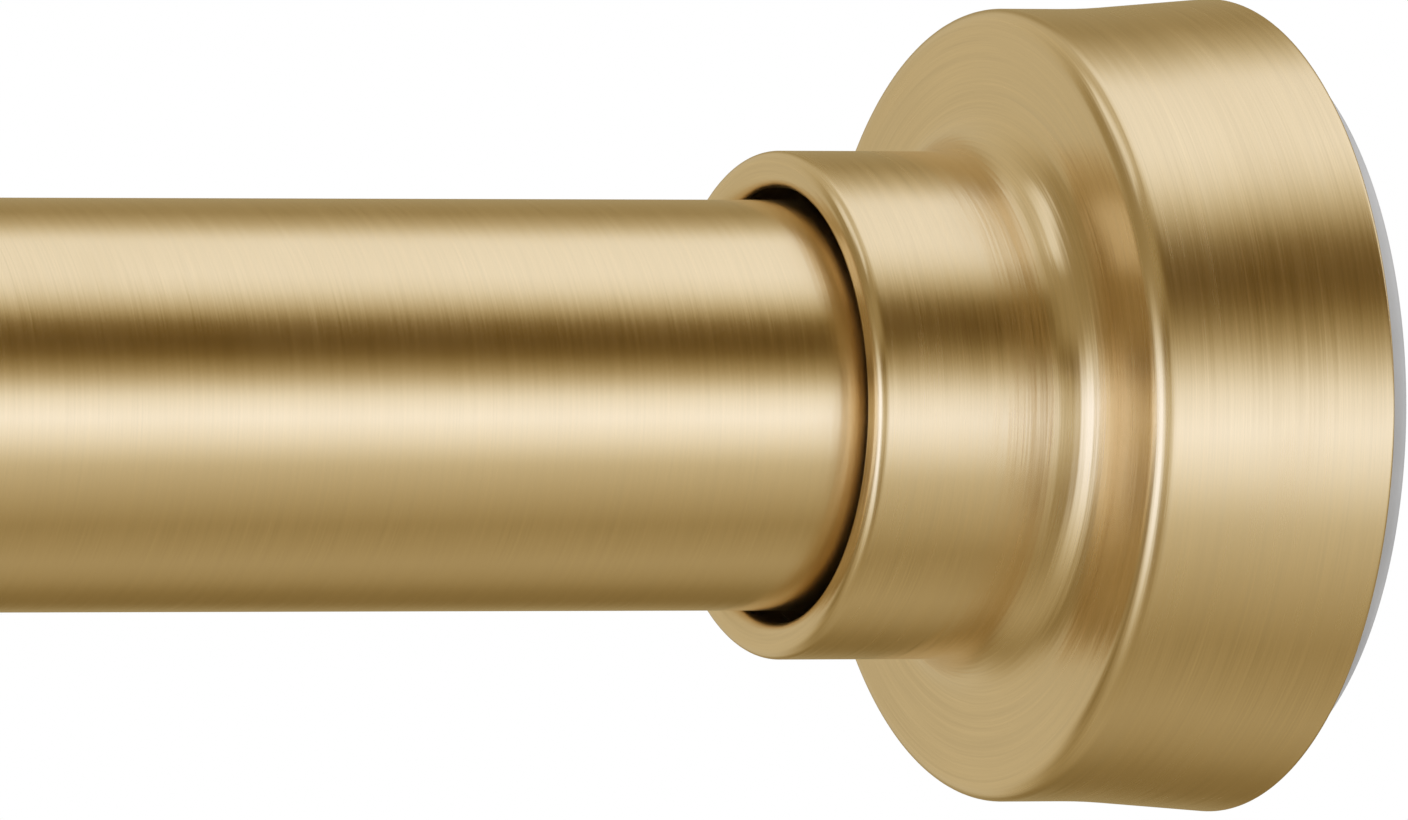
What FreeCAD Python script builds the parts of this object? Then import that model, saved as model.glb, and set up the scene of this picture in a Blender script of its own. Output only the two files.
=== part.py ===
"""Spring tension rod: two telescoping tubes, a twist lock, a thrust spring and a foot and cover at each end.

Millimetres. The rod lies along X. The origin is the centre of the right foot's wall face and +X points into
that wall, so the whole rod lies at negative X. Every sub-part is written to parts/NODE.step.
"""

import FreeCAD
import Part

import math
import os

V = FreeCAD.Vector

# Overall length: the shortest setting, pad face to pad face, and how far the rod is drawn out from it
closed_length = 457.2
drawn_out = 50.8

# Tubes
outer_tube_od = 25.4
outer_tube_wall = 0.7
inner_tube_wall = 0.7

# Clearances
press_gap = 0.05         # pressed or glued pieces, radial or face to face
running_gap = 0.15       # pieces that turn or slide on each other
seat_gap = 0.15          # a loose cover against the ribs it rests on

# Chamfer on the small turned and moulded pieces inside
small_edge = 0.4

# Cutting solids reach past what they cut by this much
cut_over = 1.0

# Travel that the pieces leave room for
press_travel = 15.0      # the spring's own give
cover_travel = 18.0      # how far a cover can be drawn back on the inner tube's bare run
end_play = 3.0           # spare length left between pieces at the ends of travel

# End covers: a drawn shell with a narrow collar, a round face and a slightly flared skirt
cover_wall = 1.2
cover_clearance = 0.75   # radial, between a tube and the cover's turned-in lip
lip_width = 2.29        # radial, from the lip's bore to the collar's outside, over the outer tube
collar_length = 14.8
skirt_depth = 16.0
face_radius = 24.6
skirt_flare = 0.7
flare_length = 9.0
flare_blend = 40.0
face_edge = 1.3
neck_fillet = 3.2
lip_bend = 0.8
lip_edge = 1.0           # the lip is rolled into its bore
rim_edge = 0.3

# Rubber foot pads
pad_thickness = 4.0
pad_proud = 2.1          # how far the pad stands out behind the cover's rim
foot_clearance = 0.4     # radial, between foot and skirt
pad_edge = 0.6
groove_radii = (8.0, 13.0, 18.0)
groove_width = 1.8
groove_depth = 0.8
stem_radius = 3.4
barb_radius = 4.6
barb_length = 2.6
barb_tip = 2.6

# End plugs
disc_thickness = 2.5
spigot_length = 18.0
spigot_wall = 2.2
socket_wall = 1.8
crush_rib_height = 0.35
crush_rib_width = 1.4
crush_rib_count = 8
gusset_count = 6
gusset_thickness = 1.6
gusset_inset = 0.6       # radial, of a gusset's foot from the disc's edge
gusset_lean = 0.7        # radial, from a gusset's foot to its front end

# Guide in the outer tube's mouth
guide_length = 22.0
guide_wall = 0.8
guide_lip = 1.2
guide_lip_edge = 0.4

# Drive bush in the inner tube's end
bush_depth = 14.0
bush_collar = 3.0

# Spindle with its thrust collar and pin
hex_flats = 9.0
thread_diameter = 8.0
hex_stub = 6.0           # spindle past the thrust collar, inside the spring
thrust_collar_thickness = 5.0
thrust_collar_gap = 0.8  # radial, to the inner tube
pin_diameter = 2.4
pin_inset = 0.6

# Lock sleeve, its rubber drag ring and the cone nut that spreads it
sleeve_length = 21.0
sleeve_floor = 4.5
sleeve_mouth_wall = 2.2
cone_half_angle = 10.0
cone_gap = 0.1
slit_count = 4
slit_width = 1.6
slit_depth = 15.0
grip_groove_width = 0.8
grip_groove_depth = 0.4
grip_groove_count = 4
drag_ring_section = 1.8
nut_length = 15.0
nut_standout = 1.5
nut_travel = 4.0
key_gap = 0.2
key_length = 6.0
key_inset = 0.55         # radial, of a key's end below the sleeve's outside

# Stop washer and retaining ring at the spindle's end
washer_od = 15.0
washer_thickness = 1.2
ring_thickness = 0.8
ring_width = 2.4
ring_groove_depth = 0.7
ring_mouth_angle = 100.0
spindle_tip = 2.0

# Thrust spring and its stop
spring_wire = 1.8
spring_side_gap = 1.4
spring_length = 84.0
spring_turns = 12
stop_thickness = 8.0
stop_boss_length = 10.0
stop_boss_gap = 1.2

# Radii that follow from the sizes above
outer_tube_r = outer_tube_od / 2
outer_bore_r = outer_tube_r - outer_tube_wall
guide_bore_r = outer_bore_r - press_gap - guide_wall
inner_tube_r = guide_bore_r - running_gap
inner_bore_r = inner_tube_r - inner_tube_wall
collar_r = outer_tube_r + cover_clearance + lip_width
foot_radius = face_radius - cover_wall - foot_clearance
sleeve_r = outer_bore_r - running_gap
cone_mouth_r = sleeve_r - sleeve_mouth_wall
cone_slope = math.tan(math.radians(cone_half_angle))
thread_r = thread_diameter / 2
spindle_hole_r = thread_r + running_gap
spring_r = inner_bore_r - spring_side_gap - spring_wire / 2

# Lengths of the lock train, from the inner tube's end towards the right
sleeve_start = bush_collar + press_travel + end_play / 2
sleeve_end = sleeve_start + sleeve_length
nut_end = sleeve_end + nut_standout
washer_start = nut_end + nut_travel + seat_gap
ring_start = washer_start + washer_thickness + press_gap
spindle_end = ring_start + ring_thickness + press_gap + spindle_tip

# Lengths of the spring train, from the inner tube's end towards the left
thrust_face = -(bush_depth + seat_gap)
collar_back = thrust_face - thrust_collar_thickness
spring_end = collar_back - press_gap
spring_start = spring_end - spring_length

# Places along X
foot_depth = pad_thickness + disc_thickness
cover_reach = pad_proud + skirt_depth + collar_length
bare_run = press_travel + cover_travel + end_play
rod_length = closed_length + drawn_out
outer_tube_end = -foot_depth - press_gap
mouth_x = -(closed_length - cover_reach - bare_run - guide_lip)
inner_end_closed = -(foot_depth + spigot_length + end_play / 2 + spindle_end)
inner_end_x = inner_end_closed - drawn_out
inner_tube_start = -(rod_length - foot_depth - press_gap)


def profile_wire(corners, chamfered):
    """Closed wire in the XZ plane through (x, r, corner size) points, its corners rounded or chamfered."""
    points = [V(x, 0, r) for x, r, _ in corners]
    following = points[1:] + points[:1]
    bends = [
        tangent_bend(points[i - 1], points[i], following[i], corners[i][2]) for i in range(len(points))
    ]
    edges = []
    for bend, next_bend in zip(bends, bends[1:] + bends[:1]):
        arrival, middle, departure = bend
        if arrival != departure:
            arc = Part.Arc(arrival, middle, departure).toShape()
            edges.append(Part.makeLine(arrival, departure) if chamfered else arc)
        edges.append(Part.makeLine(departure, next_bend[0]))
    return Part.Wire(edges)


def tangent_bend(before, corner, after, radius):
    """Start, middle and end of the arc that rounds a corner between two straight lines."""
    back = (before - corner).normalize()
    ahead = (after - corner).normalize()
    half = back.getAngle(ahead) / 2
    setback = radius / math.tan(half)
    inward = (back + ahead).normalize()
    middle = corner + inward * (radius / math.sin(half) - radius)
    return corner + back * setback, middle, corner + ahead * setback


def turned(corners, chamfered=False):
    """Solid of revolution about X from (x, r, corner size) points."""
    return Part.Face(profile_wire(corners, chamfered)).revolve(V(0, 0, 0), V(1, 0, 0), 360)


def sharp(pairs):
    """Outline points with no rounding at their corners."""
    return [(x, r, 0) for x, r in pairs]


def ring(x0, x1, r_in, r_out):
    """Plain tube along X."""
    return turned(sharp([(x0, r_in), (x1, r_in), (x1, r_out), (x0, r_out)]))


def rod(x0, x1, radius):
    """Plain round bar along X."""
    return Part.makeCylinder(radius, x1 - x0, V(x0, 0, 0), V(1, 0, 0))


def hex_bar(x0, x1, flats):
    """Hexagonal bar along X, flats facing up and down."""
    corner_r = flats / 2 / math.cos(math.pi / 6)
    angles = [math.pi / 3 * k for k in range(7)]
    outline = [V(x0, corner_r * math.cos(a), corner_r * math.sin(a)) for a in angles]
    return Part.Face(Part.makePolygon(outline)).extrude(V(x1 - x0, 0, 0))


def plate(pairs, thickness):
    """Flat plate from (x, z) points, its thickness centred on the XZ plane."""
    outline = [V(x, -thickness / 2, z) for x, z in pairs]
    return Part.Face(Part.makePolygon(outline + outline[:1])).extrude(V(0, thickness, 0))


def around(shape, count):
    """Copies of a shape evenly spaced about X."""
    copies = []
    for k in range(count):
        copy = shape.copy()
        copy.rotate(V(0, 0, 0), V(1, 0, 0), 360 / count * k)
        copies.append(copy)
    return copies


def fused(first, others):
    """One solid from overlapping pieces, with no leftover seams."""
    return first.fuse(others).removeSplitter()


def at_left_end(shape):
    """The same piece turned round and set at the rod's left wall."""
    shape.rotate(V(0, 0, 0), V(0, 0, 1), 180)
    shape.translate(V(-rod_length, 0, 0))
    return shape


def on_inner_end(shape):
    """A piece drawn from the inner tube's end, set in its place."""
    shape.translate(V(inner_end_x, 0, 0))
    return shape


def end_cover(tube_r):
    """Drawn shell that hides a foot: lip, collar, face and flared skirt, one wall thick throughout."""
    rim_x = -pad_proud
    face_x = rim_x - skirt_depth
    lip_x = face_x - collar_length
    bore_r = tube_r + cover_clearance
    rim_r = face_radius + skirt_flare
    flare_x = rim_x - flare_length
    outside = [
        (rim_x, rim_r, rim_edge),
        (flare_x, face_radius, flare_blend),
        (face_x, face_radius, face_edge),
        (face_x, collar_r, neck_fillet),
        (lip_x, collar_r, lip_bend),
        (lip_x, bore_r, lip_edge),
    ]
    inside = [
        (lip_x + cover_wall, bore_r, 0),
        (lip_x + cover_wall, collar_r - cover_wall, 0),
        (face_x + cover_wall, collar_r - cover_wall, neck_fillet + cover_wall),
        (face_x + cover_wall, face_radius - cover_wall, 0),
        (flare_x, face_radius - cover_wall, 0),
        (rim_x, rim_r - cover_wall, 0),
    ]
    return turned(outside + inside)


def foot_pad():
    """Rubber disc with grip grooves on its wall face and a barbed stem that holds it in the plug."""
    back_x = -pad_thickness
    barb_x = -foot_depth - press_gap
    pad = turned([
        (0, 0, 0),
        (0, foot_radius, pad_edge),
        (back_x, foot_radius, 0),
        (back_x, stem_radius, 0),
        (barb_x, stem_radius, 0),
        (barb_x, barb_radius, 0),
        (barb_x - barb_length, barb_tip, 0),
        (barb_x - barb_length, 0, 0),
    ])
    grooves = [
        ring(-groove_depth, cut_over, r - groove_width / 2, r + groove_width / 2) for r in groove_radii
    ]
    return pad.cut(grooves)


def end_plug(tube_r, bore_r):
    """Moulded plug: a disc behind the pad, a ribbed spigot in the tube, a socket round it and gussets."""
    disc_x = -foot_depth
    rib_r = bore_r - press_gap
    spigot_r = rib_r - crush_rib_height
    spigot_x = disc_x - spigot_length
    socket_bore = tube_r + press_gap
    socket_r = socket_bore + socket_wall
    front_x = -(pad_proud + skirt_depth - cover_wall - seat_gap)
    gusset_r = foot_radius - gusset_inset
    weld = disc_thickness / 2
    disc = turned([
        (-pad_thickness, stem_radius + press_gap, 0),
        (-pad_thickness, foot_radius, rim_edge),
        (disc_x, foot_radius, pad_edge),
        (disc_x, stem_radius + press_gap, 0),
    ], chamfered=True)
    spigot = ring(spigot_x, disc_x + weld, spigot_r - spigot_wall, spigot_r)
    socket = ring(front_x, disc_x + weld, socket_bore, socket_r)
    gusset = plate([
        (disc_x + weld, socket_r - socket_wall / 2),
        (disc_x + weld, gusset_r),
        (disc_x, gusset_r),
        (front_x, gusset_r - gusset_lean),
        (front_x, socket_r - socket_wall / 2),
    ], gusset_thickness)
    crush_rib = plate([
        (spigot_x + crush_rib_width, spigot_r - spigot_wall / 2),
        (spigot_x + crush_rib_width * 2, rib_r),
        (disc_x + weld, rib_r),
        (disc_x + weld, spigot_r - spigot_wall / 2),
    ], crush_rib_width)
    ribs = around(gusset, gusset_count) + around(crush_rib, crush_rib_count)
    return fused(disc, [spigot, socket] + ribs)


def mouth_guide():
    """Thin liner in the outer tube's mouth, with a lip that covers the tube's cut edge."""
    lip_x = mouth_x - guide_lip
    seat_x = mouth_x - press_gap
    return turned([
        (lip_x, guide_bore_r, 0),
        (mouth_x + guide_length, guide_bore_r, 0),
        (mouth_x + guide_length, outer_bore_r - press_gap, 0),
        (seat_x, outer_bore_r - press_gap, 0),
        (seat_x, outer_tube_r, 0),
        (lip_x, outer_tube_r, guide_lip_edge),
    ])


def drive_bush():
    """Bush pressed in the inner tube: its collar glides in the outer tube, its hexagon turns the spindle."""
    rib_r = inner_bore_r - press_gap
    body_r = rib_r - crush_rib_height
    collar_radius = outer_bore_r - running_gap
    body = turned([
        (-bush_depth, 0, 0),
        (bush_collar, 0, 0),
        (bush_collar, collar_radius, small_edge),
        (press_gap, collar_radius, 0),
        (press_gap, body_r, 0),
        (-bush_depth, body_r, small_edge),
    ], chamfered=True)
    rib = plate([
        (-bush_depth + crush_rib_width, body_r - spigot_wall / 2),
        (-bush_depth + crush_rib_width * 2, rib_r),
        (bush_collar / 2, rib_r),
        (bush_collar / 2, body_r - spigot_wall / 2),
    ], crush_rib_width)
    bore = hex_bar(-bush_depth - cut_over, bush_collar + cut_over, hex_flats + 2 * running_gap)
    return on_inner_end(fused(body, around(rib, crush_rib_count)).cut(bore))


def spindle():
    """Hexagonal bar with a threaded right end, drawn plain, a ring groove and a cross hole for its pin."""
    shoulder = sleeve_start - running_gap
    bar = hex_bar(collar_back - hex_stub, shoulder, hex_flats)
    shank = rod(shoulder - thread_r, spindle_end, thread_r)
    groove = ring(
        ring_start - press_gap,
        ring_start + ring_thickness + press_gap,
        thread_r - ring_groove_depth,
        thread_r + cut_over,
    )
    return on_inner_end(fused(bar, [shank]).cut([groove, pin_bar(pin_diameter / 2 + press_gap, 0)]))


def pin_bar(radius, inset):
    """Round bar across the thrust collar, along Z."""
    reach = inner_bore_r - thrust_collar_gap - inset
    middle = collar_back + thrust_collar_thickness / 2
    return Part.makeCylinder(radius, 2 * reach, V(middle, 0, -reach), V(0, 0, 1))


def thrust_collar():
    """Collar pinned on the spindle: the spring pushes on it, and it stops against the drive bush."""
    radius = inner_bore_r - thrust_collar_gap
    body = turned([
        (collar_back, 0, 0),
        (thrust_face, 0, 0),
        (thrust_face, radius, small_edge),
        (collar_back, radius, small_edge),
    ], chamfered=True)
    hexagon = hex_bar(collar_back - cut_over, thrust_face + cut_over, hex_flats + 2 * press_gap)
    return on_inner_end(body.cut([hexagon, pin_bar(pin_diameter / 2 + press_gap, 0)]))


def collar_pin():
    """Cross pin through the thrust collar and the spindle."""
    return on_inner_end(pin_bar(pin_diameter / 2, pin_inset))


def cone_radius(x):
    """Radius of the lock sleeve's tapered bore at x, measured from the inner tube's end."""
    return cone_mouth_r - (sleeve_end - x) * cone_slope


def lock_sleeve():
    """Slit sleeve that grips the outer tube: floor, tapered bore, drag ring groove and grip grooves."""
    floor_x = sleeve_start + sleeve_floor
    ring_x = sleeve_start + sleeve_floor / 2
    ring_bed = sleeve_r - drag_ring_section
    first_groove = floor_x + grip_groove_width
    groove_step = (sleeve_end - first_groove) / grip_groove_count
    sleeve = turned([
        (sleeve_start, spindle_hole_r, 0),
        (floor_x, spindle_hole_r, 0),
        (floor_x, cone_radius(floor_x), 0),
        (sleeve_end, cone_mouth_r, 0),
        (sleeve_end, sleeve_r, small_edge),
        (sleeve_start, sleeve_r, small_edge),
    ], chamfered=True)
    slit = plate([
        (sleeve_end - slit_depth, 0),
        (sleeve_end + cut_over, 0),
        (sleeve_end + cut_over, sleeve_r + cut_over),
        (sleeve_end - slit_depth, sleeve_r + cut_over),
    ], slit_width)
    cuts = around(slit, slit_count)
    cuts.append(ring(
        ring_x - drag_ring_section / 2 - press_gap,
        ring_x + drag_ring_section / 2 + press_gap,
        ring_bed - press_gap,
        sleeve_r + cut_over,
    ))
    for k in range(grip_groove_count):
        x = first_groove + groove_step * k
        cuts.append(ring(x, x + grip_groove_width, sleeve_r - grip_groove_depth, sleeve_r + cut_over))
    return on_inner_end(sleeve.cut(cuts))


def drag_ring():
    """Rubber ring in the sleeve's groove: its drag keeps the sleeve still while the spindle turns."""
    middle = sleeve_r - drag_ring_section / 2
    body = Part.makeTorus(middle, drag_ring_section / 2, V(0, 0, 0), V(1, 0, 0))
    body.translate(V(sleeve_start + sleeve_floor / 2, 0, 0))
    return on_inner_end(body)


def cone_nut():
    """Tapered nut that spreads the sleeve, kept from turning by keys in the sleeve's slits."""
    start = nut_end - nut_length
    bore_r = thread_r + running_gap
    body = turned(sharp([
        (start, bore_r),
        (nut_end, bore_r),
        (nut_end, cone_radius(sleeve_end) - cone_gap),
        (sleeve_end, cone_radius(sleeve_end) - cone_gap),
        (start, cone_radius(start) - cone_gap),
    ]))
    key_start = sleeve_end - key_length
    key_root = (bore_r + cone_radius(key_start)) / 2
    key = plate([
        (key_start, key_root),
        (sleeve_end, key_root),
        (sleeve_end, sleeve_r - key_inset),
        (key_start, sleeve_r - key_inset),
    ], slit_width - 2 * key_gap)
    return on_inner_end(fused(body, around(key, slit_count)))


def stop_washer():
    """Washer that ends the nut's run on the thread."""
    end = washer_start + washer_thickness
    return on_inner_end(ring(washer_start, end, thread_r + press_gap, washer_od / 2))


def retaining_ring():
    """Open ring snapped in the spindle's groove."""
    end = ring_start + ring_thickness
    inner = thread_r - ring_groove_depth + press_gap
    outer = inner + ring_width
    reach = 2 * outer
    spread = reach * math.tan(math.radians(ring_mouth_angle / 2))
    cut_x = ring_start - cut_over
    wedge = Part.makePolygon([
        V(cut_x, 0, 0),
        V(cut_x, spread, -reach),
        V(cut_x, -spread, -reach),
        V(cut_x, 0, 0),
    ])
    mouth = Part.Face(wedge).extrude(V(ring_thickness + 2 * cut_over, 0, 0))
    return on_inner_end(ring(ring_start, end, inner, outer).cut(mouth))


def thrust_spring():
    """Round-wire compression spring with ground ends, at its fitted length."""
    pitch = spring_length / spring_turns
    run_out = spring_wire
    helix = Part.makeHelix(pitch, spring_length + 2 * run_out, spring_r)
    start = helix.Edges[0].valueAt(helix.Edges[0].FirstParameter)
    along = helix.Edges[0].tangentAt(helix.Edges[0].FirstParameter)
    section = Part.Wire(Part.makeCircle(spring_wire / 2, start, along))
    coil = Part.Wire(helix.Edges).makePipeShell([section], True, True)
    coil.rotate(V(0, 0, 0), V(0, 1, 0), 90)
    coil.translate(V(spring_start - run_out, 0, 0))
    return on_inner_end(coil.common(rod(spring_start, spring_end, inner_bore_r)))


def spring_stop():
    """Ribbed plug pressed in the inner tube, with a boss inside the spring's end."""
    rib_r = inner_bore_r - press_gap
    body_r = rib_r - crush_rib_height
    start = spring_start - stop_thickness
    boss_r = spring_r - spring_wire / 2 - stop_boss_gap
    body = turned([
        (start, 0, 0),
        (spring_start + stop_boss_length, 0, 0),
        (spring_start + stop_boss_length, boss_r, small_edge),
        (spring_start, boss_r, 0),
        (spring_start, body_r, 0),
        (start, body_r, small_edge),
    ], chamfered=True)
    rib = plate([
        (start + crush_rib_width, body_r - spigot_wall / 2),
        (start + crush_rib_width * 2, rib_r),
        (spring_start, rib_r),
        (spring_start, body_r - spigot_wall / 2),
    ], crush_rib_width)
    return on_inner_end(fused(body, around(rib, crush_rib_count)))


def rod_nodes():
    """Every sub-part of the rod by its node name."""
    return {
        "outer_tube": ring(mouth_x, outer_tube_end, outer_bore_r, outer_tube_r),
        "mouth_guide": mouth_guide(),
        "right_end_plug": end_plug(outer_tube_r, outer_bore_r),
        "right_foot_pad": foot_pad(),
        "right_end_cover": end_cover(outer_tube_r),
        "inner_tube": ring(inner_tube_start, inner_end_x, inner_bore_r, inner_tube_r),
        "left_end_plug": at_left_end(end_plug(inner_tube_r, inner_bore_r)),
        "left_foot_pad": at_left_end(foot_pad()),
        "left_end_cover": at_left_end(end_cover(inner_tube_r)),
        "drive_bush": drive_bush(),
        "spindle": spindle(),
        "thrust_collar": thrust_collar(),
        "collar_pin": collar_pin(),
        "thrust_spring": thrust_spring(),
        "spring_stop": spring_stop(),
        "lock_sleeve": lock_sleeve(),
        "drag_ring": drag_ring(),
        "cone_nut": cone_nut(),
        "stop_washer": stop_washer(),
        "retaining_ring": retaining_ring(),
    }


def main():
    os.makedirs("parts", exist_ok=True)
    for name, shape in rod_nodes().items():
        print(f"{name:16s} solids {len(shape.Solids)}  valid {shape.isValid()}  volume {shape.Volume:9.1f}")
        shape.exportStep(f"parts/{name}.step")


main()
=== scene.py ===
"""Looks of a spring tension rod, laid out as an add-on and run as a script.

Metres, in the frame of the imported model: the rod lies along X, the right foot's wall face is at the origin
and +Z is up. The tubes, covers, pads, guide and spring are turned or wound again as fine meshes of the same
form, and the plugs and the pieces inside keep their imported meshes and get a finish.
"""

import math

import bmesh
import bpy
from bpy.props import FloatProperty, FloatVectorProperty, IntProperty, PointerProperty
from mathutils import Matrix, Vector


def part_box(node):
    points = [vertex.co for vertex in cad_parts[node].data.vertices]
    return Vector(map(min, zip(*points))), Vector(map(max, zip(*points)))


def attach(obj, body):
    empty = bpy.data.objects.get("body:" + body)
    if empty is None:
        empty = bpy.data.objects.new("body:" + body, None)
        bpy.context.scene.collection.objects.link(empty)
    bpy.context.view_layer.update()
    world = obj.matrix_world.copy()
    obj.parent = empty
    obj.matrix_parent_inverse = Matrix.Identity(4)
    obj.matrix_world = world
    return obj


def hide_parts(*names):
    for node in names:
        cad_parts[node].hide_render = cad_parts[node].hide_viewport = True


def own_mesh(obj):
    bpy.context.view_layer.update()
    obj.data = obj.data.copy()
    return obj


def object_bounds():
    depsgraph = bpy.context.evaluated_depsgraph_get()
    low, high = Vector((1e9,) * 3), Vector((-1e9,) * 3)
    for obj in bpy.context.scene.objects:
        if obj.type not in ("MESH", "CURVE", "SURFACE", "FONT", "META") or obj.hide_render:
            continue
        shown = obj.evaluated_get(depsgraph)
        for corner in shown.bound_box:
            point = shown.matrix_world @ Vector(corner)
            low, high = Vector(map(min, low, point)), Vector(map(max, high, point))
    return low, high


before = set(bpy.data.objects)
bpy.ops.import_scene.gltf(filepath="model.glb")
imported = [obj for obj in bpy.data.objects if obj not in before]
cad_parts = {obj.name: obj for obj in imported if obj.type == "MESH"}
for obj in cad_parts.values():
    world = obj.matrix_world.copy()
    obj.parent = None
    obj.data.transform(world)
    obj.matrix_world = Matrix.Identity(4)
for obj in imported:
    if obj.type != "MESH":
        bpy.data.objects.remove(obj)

bl_info = {
    "name": "Spring Tension Rod",
    "version": (1, 0, 0),
    "blender": (4, 5, 0),
    "location": "3D View > Sidebar > Tension Rod",
    "description": "Turns, winds and finishes the pieces of a spring tension rod and lights them",
    "category": "Object",
}

MM = 0.001

# Places along the rod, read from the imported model
CAD_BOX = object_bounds()
ROD_START = CAD_BOX[0].x
ROD_END = CAD_BOX[1].x
ROD_MIDDLE = (ROD_START + ROD_END) / 2

# Fineness of the turned meshes
TURN_SEGMENTS = 256
ARC_STEP = math.radians(7.5)
HOLDING_GAP = 0.08 * MM
SHARP_ANGLE = math.radians(32)
ON_AXIS = 1e-7


def angles(*degrees):
    """Angles in radians, given in degrees."""
    return tuple(math.radians(value) for value in degrees)


# Streaks of a brushed surface: finer and coarser ones, and clouds of more or less streaking
FINE_SHARE = 0.6
COARSE_SHARE = 0.4
COARSE_SPREAD = 0.27
STREAK_RANGE = (0.33, 0.67)
CLOUD_SCALE = 140.0
CLOUD_RANGE = (0.3, 0.7)
CLOUD_SHARE = 0.35
CLOUD_GLOSS = 0.02
STREAK_GLOSS = 0.15
BRIGHT_STREAK = 0.8
SHEEN_TURN = 0.25

# Mottling and grain of a moulded surface
MOTTLE_SCALE = 180.0
MOTTLE_RANGE = (0.3, 0.7)
MOTTLE_SHADE = 0.88
MOTTLE_GLOSS = 0.06
GRAIN_STRENGTH = 0.5

# Floor and lamps
FLOOR_REACH = 4.0
FLOOR_ROUGHNESS = 0.9
OVERHEAD_LAMP_PLACE = (ROD_MIDDLE + 0.2, -0.4, 1.8)
FRONT_LAMP_PLACE = (ROD_MIDDLE - 0.6, -1.8, 1.0)
FRONT_LAMP_SHARE = 0.6
LAMP_WIDTH = 1.8

# Light of the tent's wall, once round from the back by way of below, the front and the top:
# degrees up from the front, and level
TENT_LEVELS = (
    (-180, 0.40), (-162, 0.36), (-143, 0.24), (-128, 0.28), (-112, 0.41), (-98, 0.475), (-70, 0.375),
    (-49, 0.55), (-33, 0.69), (-18, 1.04), (-7, 1.22), (4, 1.06), (18, 0.46), (28, 0.18), (36, 0.12),
    (46, 0.20), (57, 0.66), (66, 0.95), (76, 1.06), (104, 1.03), (120, 0.56), (134, 0.36), (158, 0.40),
    (180, 0.40),
)
TENT_BRIGHTEST = 1.3
TENT_WARMTH = (1.0, 1.25, 1.95)
TENT_ENDS = (-20.0, 20.0)
TENT_RADIUS = 0.5
TENT_SIDES = 96

# The dark gap above the front ends towards the left
GAP_END_LEVEL = 0.37
GAP_END = (0.12, -0.20)
GAP_FOOT = angles(10, 22)
GAP_TOP = angles(58, 72)

# Dim stretch of the tent in front, between two places along the rod
FRONT_DIM_SHARE = 0.46
FRONT_DIM_LEFT = (-0.65, -0.45)
FRONT_DIM_RIGHT = (-0.10, 0.06)
FRONT_DIM_FOOT = angles(-80, -42)
FRONT_DIM_TOP = angles(16, 34)

# The top panel dims to the left in two steps, but for a short strip
TOP_NEAR_LEVEL = 0.58
TOP_NEAR = (0.13, -0.05)
TOP_FAR_LEVEL = 0.33
TOP_FAR = (-0.10, -0.55)
TOP_FRONT = angles(52, 64)
TOP_BACK = angles(150, 175)
TOP_STRIP_LEVEL = 1.0
TOP_STRIP_RIGHT = (-0.13, -0.24)
TOP_STRIP_LEFT = (-0.34, -0.54)
TOP_STRIP_FRONT = angles(56, 68)
TOP_STRIP_BACK = angles(100, 116)

# White panel at the left, by its bearing from the front and its height above the level
SIDE_PANEL_LEVEL = 1.42
SIDE_PANEL_NEAR = angles(49, 59)
SIDE_PANEL_FAR = angles(78, 98)
SIDE_PANEL_FOOT = angles(-64, -6)
SIDE_PANEL_TOP = angles(0, 22)

# Softer panel behind, by its angle from the front either way round
BACK_PANEL_LEVEL = 0.615
BACK_PANEL_START = (0.10, -0.05)
BACK_PANEL_END = (-0.38, -0.52)
BACK_PANEL_ANGLES = angles(114, 154)


def length(label, text, size):
    """A length in metres that a user may change, given in millimetres."""
    return FloatProperty(
        name=label, description=text, default=size * MM, min=0.0, unit="LENGTH", precision=5,
    )


def colour(label, text, value):
    """A colour that a user may change."""
    return FloatVectorProperty(
        name=label, description=text, default=value, subtype="COLOR", min=0.0, max=1.0,
    )


# Sizes and colours that a user would change

class TubeSettings(bpy.types.PropertyGroup):
    """Radii of the two tubes and of the guide between them."""
    outer_radius: length("Outer tube radius", "Outside radius of the outer tube", 12.7)
    outer_wall: length("Outer tube wall", "Wall of the outer tube", 0.7)
    inner_radius: length("Inner tube radius", "Outside radius of the inner tube", 11.0)
    inner_wall: length("Inner tube wall", "Wall of the inner tube", 0.7)
    cut_edge: length("Cut edge", "Rounding of a tube's deburred ends", 0.15)
    guide_bore: length("Guide bore", "Radius of the mouth guide's bore", 11.15)
    guide_outside: length("Guide outside", "Radius of the mouth guide inside the tube", 11.95)
    guide_lip: length("Guide lip", "Length of the lip that covers the tube's cut edge", 1.15)
    guide_lip_edge: length("Guide lip edge", "Rounding of the guide's lip", 0.4)


class CoverSettings(bpy.types.PropertyGroup):
    """Profile of the drawn end covers."""
    wall: length("Wall", "Sheet thickness of a cover", 1.2)
    bore_clearance: length("Bore clearance", "Radial gap between a tube and the cover's lip", 0.75)
    collar_radius: length("Collar radius", "Outside radius of the collar", 15.74)
    skirt_depth: length("Skirt depth", "Skirt, from the face to the rim", 16.0)
    face_radius: length("Face radius", "Outside radius of the skirt at the face", 24.6)
    skirt_flare: length("Skirt flare", "How much wider the skirt is at its rim", 0.7)
    flare_length: length("Flare length", "Length of the flared part of the skirt", 9.0)
    flare_blend: length("Flare blend", "Radius of the bend where the flare starts", 40.0)
    face_edge: length("Face edge", "Rounding between face and skirt", 1.3)
    neck_fillet: length("Neck fillet", "Rounding between collar and face", 3.2)
    lip_bend: length("Lip bend", "Rounding where the collar turns in to its lip", 0.8)
    lip_edge: length("Lip edge", "Rounding of the lip where it rolls into its bore", 1.0)
    inside_bend: length("Inside bend", "Rounding of the bends inside the shell", 0.4)
    rim_edge: length("Rim edge", "Rounding of the skirt's rim", 0.3)


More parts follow.
